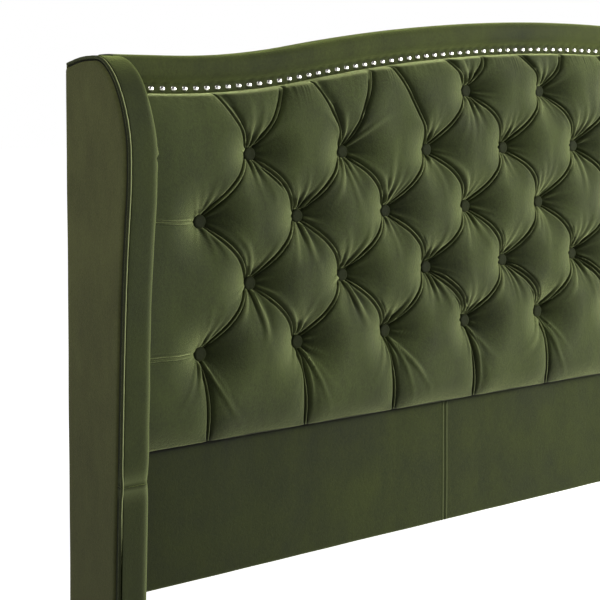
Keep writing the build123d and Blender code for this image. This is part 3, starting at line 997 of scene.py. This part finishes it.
def wing_painted_shading(points, on_pad):
    """Painted light and shade on a wing's pad (rim, seam, top) or side cover (darker towards the floor)."""
    x, y, z = points.T
    if not on_pad:
        return -0.38 * (1 - smooth_step(z, 0.2, 1.0))
    # painted highlight along the inner rim and a lighter band beside the seam; painted shade over the top and
    # in the seam
    rim = 0.6 * hump(np.abs(x) - inner_x, 7 * MM) * (y < 0)
    crown = 0.6 * smooth_step(z, wing_top - 80 * MM, wing_top - 15 * MM)
    beside_seam = 0.3 * hump(z - wing_seam_z, 16 * MM)
    in_seam = 0.4 * hump(z - wing_seam_z, 1.4 * MM)
    return rim - crown + beside_seam - in_seam


def wing_shell(name, stands_for, side, stretch, section, face_rows, turn, back, soft, finish,
               groove_shade=None):
    """A padded skin on a wing: a flat face from its back to its rim, then a section (x, depth) round the rim.

    soft(points) says how far each point stands out, and turn is 1 where the section runs towards larger x
    and -1 where it runs back. On a pad, the faces in the groove beside the piping take a dark finish painted
    as the groove's shade.
    """
    line, inward = stretch
    section = np.array(section)
    share = run_of(line) / run_of(line)[-1]
    rim = line + section[0][1] * inward
    behind = np.stack([np.full(len(line), back), rim[0][1] + share * (rim[-1][1] - rim[0][1])], axis=1)
    fractions = np.linspace(0, 1, face_rows + 1)[:-1]
    across = np.gradient(section, axis=0)
    across /= np.hypot(*across.T)[:, None]
    out_x = np.concatenate([np.full(face_rows, -float(turn)), turn * across[:, 1]])
    out_depth = np.concatenate([np.zeros(face_rows), -turn * across[:, 0]])

    def place(column, row):
        on_face = row < face_rows
        f = fractions[np.minimum(row, face_rows - 1)][:, None]
        part = section[np.maximum(row - face_rows, 0)]
        flat = behind[column] * (1 - f) + rim[column] * f
        round_rim = line[column] + part[:, 1:] * inward[column]
        yz = np.where(on_face[:, None], flat, round_rim)
        x = np.where(on_face, section[0][0], part[:, 0])
        points = np.column_stack([x, yz])
        push = soft(points)
        points[:, 0] += push * out_x[row]
        points[:, 1:] += (push * out_depth[row])[:, None] * inward[column]
        points[:, 0] *= side
        return points

    shape = map_grid(len(line), face_rows + len(section), place)
    paint_shading(shape, wing_painted_shading(read_points(shape), groove_shade is not None))
    merge_points(shape)
    close_to_plane(shape, 0, side * core_x)
    # faces deep in the groove get the dark finish painted as shade
    for face in shape.faces:
        in_groove = min(abs(vertex.co.x) for vertex in face.verts) > GROOVE_X + 1 * MM
        face.material_index = int(groove_shade is not None and in_groove)
    return new_piece(name, shape, finish, (stands_for,), sharp=60, shaded=groove_shade)


# ---- wings: pieces

PIPING = 2.5 * MM
GROOVE_X = side_x - 2 * PIPING - 0.1 * MM
PAD_ROLL = 14 * MM
EDGE_ROLL = 1.2 * MM


def pad_section():
    """Round the front of a wing pad: the broad inner roll, the band, and the tight edge at the piping."""
    inner = [(inner_x + PAD_ROLL * (1 - cos(a)), PAD_ROLL * (1 - sin(a))) for a in quarter_turn(11)]
    outer = [(GROOVE_X - EDGE_ROLL * (1 - sin(a)), EDGE_ROLL * (1 - cos(a))) for a in quarter_turn(6)]
    band = np.linspace(inner[-1], outer[0], 7)[1:-1].tolist()
    ledge = core_x + 0.2 * MM
    groove = [(GROOVE_X, 2 * PIPING), (ledge, 2 * PIPING + 0.4 * MM), (ledge, 2 * PIPING + 14 * MM)]
    return inner + band + outer + groove


def side_section():
    """Round the front of a side cover."""
    proud = side_x + 0.9 * MM
    roll = 3.6 * MM
    turned_in = [(proud - roll * (1 - cos(a)), roll * (1 - sin(a))) for a in quarter_turn(7)]
    return turned_in + [(core_x + 0.2 * MM, 0.1 * MM)]


# the small pucker at the wing's bulge: (height in metres, how far it stands out and how wide it is, in mm)
PUCKER = ((1.0425, 2.2, 4.5), (1.0335, -2.4, 3.2), (1.025, 0.7, 7))


def pad_softness(seed):
    """How far a wing pad stands out: slow waves, a pinch at the seam and a small pucker at the bulge."""
    def soft(points):
        z = points[:, 2]
        near_seam = np.abs(z - wing_seam_z)
        push = waves(points, (0.23, 0.09), 0.55 * MM, seed)
        push -= 1.2 * MM * hump(near_seam, 15 * MM)
        push -= 0.8 * MM * edge_roll(near_seam, 1.6 * MM)
        rolled = hump(points[:, 0] - inner_x, 6 * MM) * (points[:, 1] < wing_front + 40 * MM)
        for height, amount, width in PUCKER:
            push += amount * MM * rolled * hump(z - height, width * MM)
        return push * smooth_step(GROOVE_X + 0.5 * MM - points[:, 0], 0, 9 * MM)
    return soft


def side_softness(seed):
    """How far a side cover stands out: a slight fullness, drawn in at the edges."""
    def soft(points):
        back_gap = wing_back + 2 * MM - points[:, 1]
        floor_gap = points[:, 2] - wing_floor
        push = waves(points, (0.4, 0.16), 0.35 * MM, seed)
        return push - 2.2 * MM * (edge_roll(back_gap, 2.5 * MM) + edge_roll(floor_gap, 3 * MM))
    return soft


def wing_piping(hand, side):
    """Covered cord along the outer front edge, with a painted highlight along one side of it."""
    line, inward = wing_stretch(inset=PIPING, spacing=5 * MM, back=cad_box[1].y)
    turns = 20
    worn = []
    rng = np.random.default_rng(SEED + 5)
    plump = 1 + 0.04 * np.sin(run_of(line) / (0.017 + 0.004 * rng.random()) * 2 * pi)

    def place(column, row):
        angle = 2 * pi * row / turns
        # painted highlight along the side of the cord that faces the lamp
        worn.extend(0.9 * hump(angle - radians(246), radians(18)))
        radius = PIPING * plump[column]
        y, z = line[column].T
        in_y, in_z = inward[column].T
        nudge = -1.6 * MM * hump(z - wing_seam_z, 16 * MM)
        x = side_x - PIPING + radius * np.cos(angle) + nudge
        depth = radius * np.sin(angle)
        return np.column_stack([side * x, y + depth * in_y, z + depth * in_z])

    shape = map_grid(len(line), turns + 1, place)
    paint_shading(shape, worn)
    close_ends(shape)
    return new_piece(f"cord_piping_{hand}", shape, cord_velvet, (f"wing_piping_{hand}",),
                     sharp=60)


def wing_back_strip(hand, side):
    """The strip of cloth stapled over the back of a wing."""
    shape = bmesh.new()
    bmesh.ops.create_cube(shape, size=1)
    low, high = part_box("wing_back_cover_right")
    high.x = side_x - 0.3 * MM
    middle = (low + high) / 2
    bmesh.ops.scale(shape, verts=shape.verts, vec=high - low - Vector((0.6 * MM, 0, 1 * MM)))
    bmesh.ops.translate(shape, verts=shape.verts, vec=Vector((side * middle.x, middle.y, middle.z)))
    soften_edges(shape, 0.8 * MM, 3)
    slice_up(shape, 2, low.z, high.z, 12 * MM)
    slice_up(shape, 0, *sorted((side * low.x, side * high.x)), 12 * MM)
    points = read_points(shape)
    points[:, 1] += waves(points, (0.2, 0.08), 0.25 * MM, SEED + 9)
    move_points(shape, points)
    return new_piece(f"back_cover_{hand}", shape, side_velvet, (f"wing_back_cover_{hand}",))


def wings():
    """Both wings: pads above and below the seam, side cover, piping and back strip."""
    section = pad_section()
    side_back = cad_box[1].y - 1 * MM
    for side, hand in ((1, "right"), (-1, "left")):
        above = wing_stretch(low=wing_seam_z + 0.2 * MM)
        below = wing_stretch(high=wing_seam_z - 0.2 * MM)
        # the side cover keeps further back from the piping in front than on top
        outer = wing_stretch(inset=2 * PIPING + 3.4 * MM, back=side_back)
        outer[0][:, 0] += 6 * MM * outer[1][:, 0]
        for name, stands_for, stretch, seed, finish in (
                ("wing_pad_skin", "wing_pad", above, SEED + 3, wing_velvet),
                ("wing_leg_skin", "wing_leg_pad", below, SEED + 4, leg_velvet)):
            wing_shell(f"{name}_{hand}", f"{stands_for}_{hand}", side, stretch, section, 22, 1, wing_back,
                       pad_softness(seed), finish, groove_shade=painted_shade_velvet)
        wing_shell(f"wing_side_skin_{hand}", f"wing_side_cover_{hand}", side, outer, side_section(), 26, -1,
                   side_back, side_softness(SEED + 6), side_velvet)
        wing_piping(hand, side)
        wing_back_strip(hand, side)


wings()

# ---- border band


def border_band():
    """Velvet over a soft roll, from the line of the nails over the top edge to the back.

    Its section is in mm: how far below the top outline, and how far back.
    """
    section = [(60, 57), (60, 52.6), (59.4, 51.2), (57, 50.6), (52.5, 50.4), (47, 50.6), (44, 49.6),
               (41, 46.5), (37, 42.8), (32, 39.8), (26, 38.3), (18, 37.7), (12, 38.2), (7, 40.4), (3, 45),
               (1, 51), (0.2, 60), (0, 70), (0, 90), (0.3, 96), (2, 99.8), (5, 100.8), (11.8, 100.9),
               (11.6, 90), (11.6, 57.4), (40, 57.2)]
    across = wrapped([(drop * MM, y * MM) for drop, y in section], 2.6 * MM)
    stops = np.linspace(-unit_half, unit_half, round(2 * unit_half / (4 * MM)) + 1)
    nails_at = crown_stops(nail_drop, unit_half, nail_pitch, nail_margin)

    def place(column, row):
        x = stops[column]
        drop, y = across[row].T
        soft = np.column_stack([x, np.zeros(len(x)), drop * 3])
        face = (y < board_front - 6 * MM) | (drop < 1 * MM)
        y = y + face * waves(soft, (0.3, 0.11), 0.5 * MM, SEED + 21)
        beside = np.abs(x[:, None] - nails_at[None, :, 0]).min(axis=1)
        dip = hump(beside, 5 * MM) * hump(drop - nail_drop + 5 * MM, 6 * MM)
        y = y + (y < board_front - 5 * MM) * 1.7 * MM * dip
        y = y + (y < board_front - 5 * MM) * 3 * MM * edge_roll(unit_half - np.abs(x), 4 * MM)
        return np.column_stack([x, y, crown_height(x, drop)])

    shape = map_grid(len(stops), len(across), place)
    close_ends(shape)
    return new_piece("border_velvet", shape, trim_velvet, ("border_band",), sharp=60)


border_band()

# ---- apron


def apron_panel(name, stands_for):
    """One panel of the plain apron: thin padding on the board, turned under the frame as a hem."""
    low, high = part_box(stands_for)
    top = high.z
    bottom = low.z
    roll = 4 * MM
    hem = 2 * MM
    ridge = 3.8 * MM    # from a seam to the ridge of the turned cloth beside it
    roll_y = low.y + roll
    section = [(board_front, top), (roll_y, top)]
    section += [(roll_y - roll * sin(a), top - roll * (1 - cos(a))) for a in quarter_turn(6, start=0.2)]
    section += [(roll_y - roll * cos(a), bottom + roll - roll * sin(a)) for a in quarter_turn(6)]
    section += [(high.y, bottom), (high.y, bottom + hem), (board_front, bottom + hem)]
    across = wrapped(section, 3.6 * MM)
    half = (high.x - low.x) / 2
    overlap = 0.45 * MM
    near_end = steps(0.6 * MM, 1.25, 7 * MM, half, 8 * MM) / 2
    stops = low.x - overlap + 2 * (half + overlap) * np.concatenate([near_end, 1 - near_end[-2::-1]])

    def place(column, row):
        x = stops[column]
        y, z = across[row].T
        points = np.column_stack([x, y, z])
        on_front = y < board_front - 4 * MM
        gap = np.minimum(x - low.x, high.x - x)
        middle = np.sin(pi * np.clip((z - bottom) / (top - bottom), 0, 1))
        push = 0.7 * MM * middle + waves(points, (0.26, 0.1), 0.5 * MM, SEED + 30)
        push += 0.9 * MM * hump(gap - ridge, 1.5 * MM)
        push -= 0.8 * MM * edge_roll(gap, 2 * MM)
        return np.column_stack([x, y - on_front * push, z])

    shape = map_grid(len(stops), len(across), place)
    x, y, z = read_points(shape).T
    # painted shade under the pad's edge and towards the panel's ends, and a painted highlight on the ridges
    # beside the seams
    shade = hump(top - z, 5 * MM) + 0.36 * smooth_step(np.abs(x), 0.25, 0.95)
    paint_shading(shape, 0.35 * hump(np.minimum(x - low.x, high.x - x) - ridge, 1.3 * MM) - shade)
    # the top few mm take the dark finish painted as the shade under the pad
    for face in shape.faces:
        face.material_index = int(min(vertex.co.z for vertex in face.verts) > top - 3 * MM)
    close_ends(shape)
    return new_piece(name, shape, apron_velvet, (stands_for,), sharp=60,
                     shaded=painted_shade_velvet)


for place_name in ("left", "centre", "right"):
    apron_panel(f"apron_velvet_{place_name}", f"apron_cover_{place_name}")

# ---- back of the panel

dust_low, dust_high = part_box("dust_cover")
DUST_DROP = 12 * MM
CLOTH = 0.5 * MM
STAPLE_PITCH = 55 * MM


def dust_cloth():
    """Thin black cloth stretched over the back, its edges folded under."""
    across = round(2 * unit_half / (12 * MM))
    up = 70
    hem = 14 * MM

    def place(column, row):
        x = -unit_half + 1 * MM + column / across * (2 * unit_half - 2 * MM)
        top = crown_height(x, DUST_DROP + 1 * MM)
        z = dust_low.z + row / up * (top - dust_low.z)
        gap = np.minimum(np.minimum(unit_half - np.abs(x), top - z), z - dust_low.z)
        points = np.column_stack([x, np.zeros(len(x)), z])
        y = dust_low.y + 0.5 * MM + 0.5 * MM * smooth_step(hem - gap, -2 * MM, 2 * MM)
        y = y + smooth_step(gap, 0, 60 * MM) * waves(points, (0.5, 0.2), 0.12 * MM, SEED + 40)
        return np.column_stack([x, y, z])

    shape = map_grid(across + 1, up + 1, place)
    bmesh.ops.recalc_face_normals(shape, faces=shape.faces)
    bmesh.ops.solidify(shape, geom=shape.faces[:], thickness=CLOTH)
    piece = new_piece("dust_cloth", shape, cambric, ("dust_cover",))
    width = 2 * unit_half
    x = np.linspace(-unit_half, unit_half, 400)
    area = float(np.mean(crown_height(x, DUST_DROP) - dust_low.z)) * width
    return piece


def staples():
    """Staples round the edge of the dust cloth."""
    shape = bmesh.new()
    level = dust_low.y + 1.4 * MM
    edge = 7 * MM
    corner = 40 * MM
    places = [(x, z, 0) for x, z in crown_stops(DUST_DROP + edge, unit_half - edge, STAPLE_PITCH)]
    along = np.arange(-unit_half + corner, unit_half - 20 * MM, STAPLE_PITCH)
    places += [(x, dust_low.z + edge, 0) for x in along]
    top = float(crown_height(unit_half, DUST_DROP)) - corner
    up = np.arange(dust_low.z + corner, top, STAPLE_PITCH)
    places += [(side * (unit_half - edge), z, 1) for side in (-1, 1) for z in up]
    for x, z, upright in places:
        wire = bmesh.ops.create_cube(shape, size=1)["verts"]
        size = (1.1 * MM, 0.7 * MM, 11 * MM)
        bmesh.ops.scale(shape, verts=wire, vec=size if upright else size[::-1])
        bmesh.ops.translate(shape, verts=wire, vec=(x, level, z))
    soften_edges(shape, 0.25 * MM, 1)
    return new_piece("staples", shape, zinc)


dust_cloth()
staples()

# ---- light, floor and camera


def soft_light(name, place, aim, size, power):
    """A rectangular lamp that points at a place."""
    light = bpy.data.lights.new(name, "AREA")
    light.shape = "RECTANGLE"
    light.size, light.size_y = size
    light.energy = power
    lamp = bpy.data.objects.new(name, light)
    lamp.location = place
    lamp.rotation_euler = (Vector(aim) - Vector(place)).to_track_quat("-Z", "Y").to_euler()
    bpy.context.scene.collection.objects.link(lamp)


WHITE = (1, 1, 1, 1)


def studio():
    """A plain pale floor, a soft sky and two lamps."""
    ground = bmesh.new()
    bmesh.ops.create_grid(ground, x_segments=1, y_segments=1, size=30)
    mesh = bpy.data.meshes.new("floor")
    ground.to_mesh(mesh)
    ground.free()
    floor = bpy.data.objects.new("floor", mesh)
    bpy.context.scene.collection.objects.link(floor)
    finish = Finish("pale_floor")
    finish.set(Base_Color=(0.9, 0.9, 0.9, 1), Roughness=0.8, Emission_Color=WHITE, Emission_Strength=0.95)
    mesh.materials.append(finish.material)
    floor.visible_diffuse = False

    # the sky lights the bed most from the horizon, and is itself seen as plain white
    world = bpy.data.worlds.new("studio")
    bpy.context.scene.world = world
    world.use_nodes = True
    sky = world.node_tree
    background = sky.nodes["Background"]
    background.inputs["Color"].default_value = WHITE
    seen = sky.nodes.new("ShaderNodeLightPath")
    heading = sky.nodes.new("ShaderNodeTexCoord")
    split = sky.nodes.new("ShaderNodeSeparateXYZ")
    steepness = sky.nodes.new("ShaderNodeMath")
    steepness.operation = "ABSOLUTE"
    falloff = sky.nodes.new("ShaderNodeMapRange")
    falloff.inputs["To Min"].default_value = 0.275
    falloff.inputs["To Max"].default_value = 0.06
    strength = sky.nodes.new("ShaderNodeMix")
    strength.inputs[3].default_value = 1.0
    sky.links.new(heading.outputs["Generated"], split.inputs[0])
    sky.links.new(split.outputs["Z"], steepness.inputs[0])
    sky.links.new(steepness.outputs[0], falloff.inputs["Value"])
    sky.links.new(seen.outputs["Is Camera Ray"], strength.inputs[0])
    sky.links.new(falloff.outputs["Result"], strength.inputs[2])
    sky.links.new(strength.outputs[0], background.inputs["Strength"])
    soft_light("key", (2.15, -2.25, 1.6), (0, 0, 0.8), (1.8, 1.5), 226)
    soft_light("fill", (-1.85, -0.75, 2.1), (-1.0, 0, 1.15), (0.8, 0.8), 9)


def camera():
    """Looks at the left wing and the panel from the front and left, level but for a slight tilt down."""
    yaw = radians(35)
    pitch_down = radians(2.5)
    data = bpy.data.cameras.new("camera")
    data.sensor_width = 36
    data.lens = 77.14
    data.shift_y = -0.2288
    viewer = bpy.data.objects.new("camera", data)
    viewer.location = (-1.8709, -1.7030, 1.1081)
    ahead = Vector((sin(yaw) * cos(pitch_down), cos(yaw) * cos(pitch_down), -sin(pitch_down)))
    viewer.rotation_euler = ahead.to_track_quat("-Z", "Y").to_euler()
    bpy.context.scene.collection.objects.link(viewer)
    bpy.context.scene.camera = viewer


studio()
camera()
bpy.context.scene.view_settings.view_transform = "Standard"
